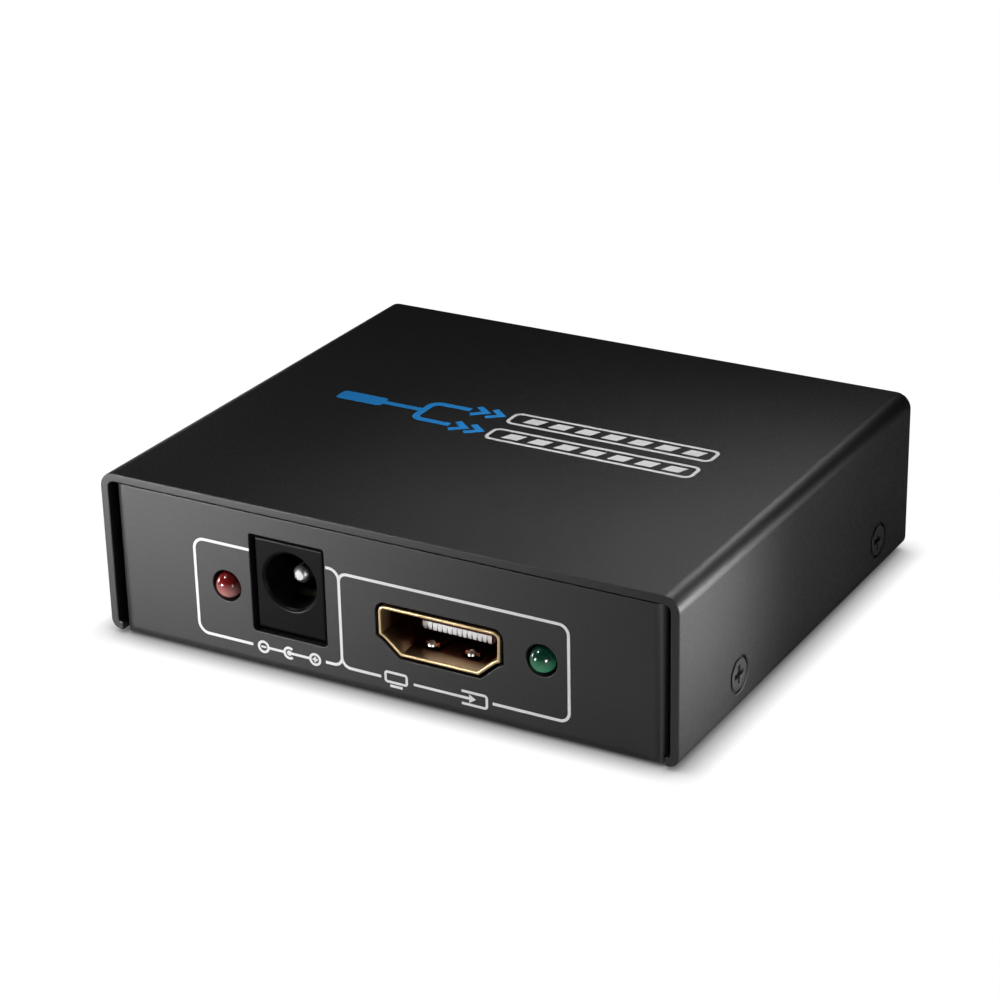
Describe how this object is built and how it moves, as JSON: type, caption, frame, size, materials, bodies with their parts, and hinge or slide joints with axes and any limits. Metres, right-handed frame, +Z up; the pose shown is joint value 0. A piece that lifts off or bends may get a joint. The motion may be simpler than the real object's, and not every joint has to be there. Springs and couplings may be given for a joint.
{
  "type": "video splitter",
  "caption": "Small flat metal box that copies one digital video input to two outputs, with a power jack, indicator lamps and a screwed sheet cover.",
  "frame": {"origin": "middle of the base's underside, under the centre of the box", "axes": "+X to the right along the front panel, +Y from the front panel to the rear panel, +Z up"},
  "size_m": [0.07, 0.0616, 0.0194],
  "materials": {
    "cover_paint": "fine satin black coating",
    "base_paint": "fine satin black coating",
    "black_screw": "blackened steel",
    "spacer_brass": "turned",
    "zinc_steel": "zinc plated",
    "board_laminate": "green solder mask",
    "black_plastic": "moulded",
    "plated_pin": "bright nickel",
    "spring_metal": "plated strip",
    "gilt_shell": "gilt plating",
    "socket_plastic": "moulded",
    "contact_metal": "plated strip",
    "red_lens": "tinted clear",
    "green_lens": "tinted clear",
    "tinned_wire": "tinned",
    "chip_plastic": "moulded",
    "plated_can": "nickel plated",
    "can_aluminium": "plain",
    "ferrite": "sintered",
    "ceramic_tan": "fired",
    "ceramic_black": "fired"
  },
  "bodies": {
    "box": {"top_cover": "cover_paint", "base_tray": "base_paint", "cover_screws": "black_screw", "board_spacers": "spacer_brass", "board_screws": "zinc_steel", "circuit_board": "board_laminate", "jack_housing": "black_plastic", "jack_centre_pin": "plated_pin", "jack_sleeve_terminal": "spring_metal", "input_shell": "gilt_shell", "input_insulator": "socket_plastic", "input_contacts": "contact_metal", "output_1_shell": "gilt_shell", "output_1_insulator": "socket_plastic", "output_1_contacts": "contact_metal", "output_2_shell": "gilt_shell", "output_2_insulator": "socket_plastic", "output_2_contacts": "contact_metal", "power_lamp": "red_lens", "input_lamp": "green_lens", "output_1_lamp": "green_lens", "output_2_lamp": "green_lens", "lamp_leads": "tinned_wire", "splitter_chip": "chip_plastic", "splitter_chip_leads": "tinned_wire", "memory_chips": "chip_plastic", "memory_chip_leads": "tinned_wire", "regulators": "chip_plastic", "regulator_leads": "tinned_wire", "crystal": "plated_can", "capacitor_cans": "can_aluminium", "capacitor_bases": "chip_plastic", "power_inductor": "ferrite", "input_diode": "chip_plastic", "chip_capacitors": "ceramic_tan", "chip_resistors": "ceramic_black"},
    "sleeve_spring": {"jack_sleeve_spring": "spring_metal"}
  },
  "joints": [
    {"name": "sleeve_spring_flex", "type": "hinge", "parent": "box", "child": "sleeve_spring", "pos_m": [-0.0112, -0.0177, 0.0061], "axis": [1, 0, 0], "range_deg": [0, 4], "stiffness_Nm_per_rad": 0.15}
  ]
}
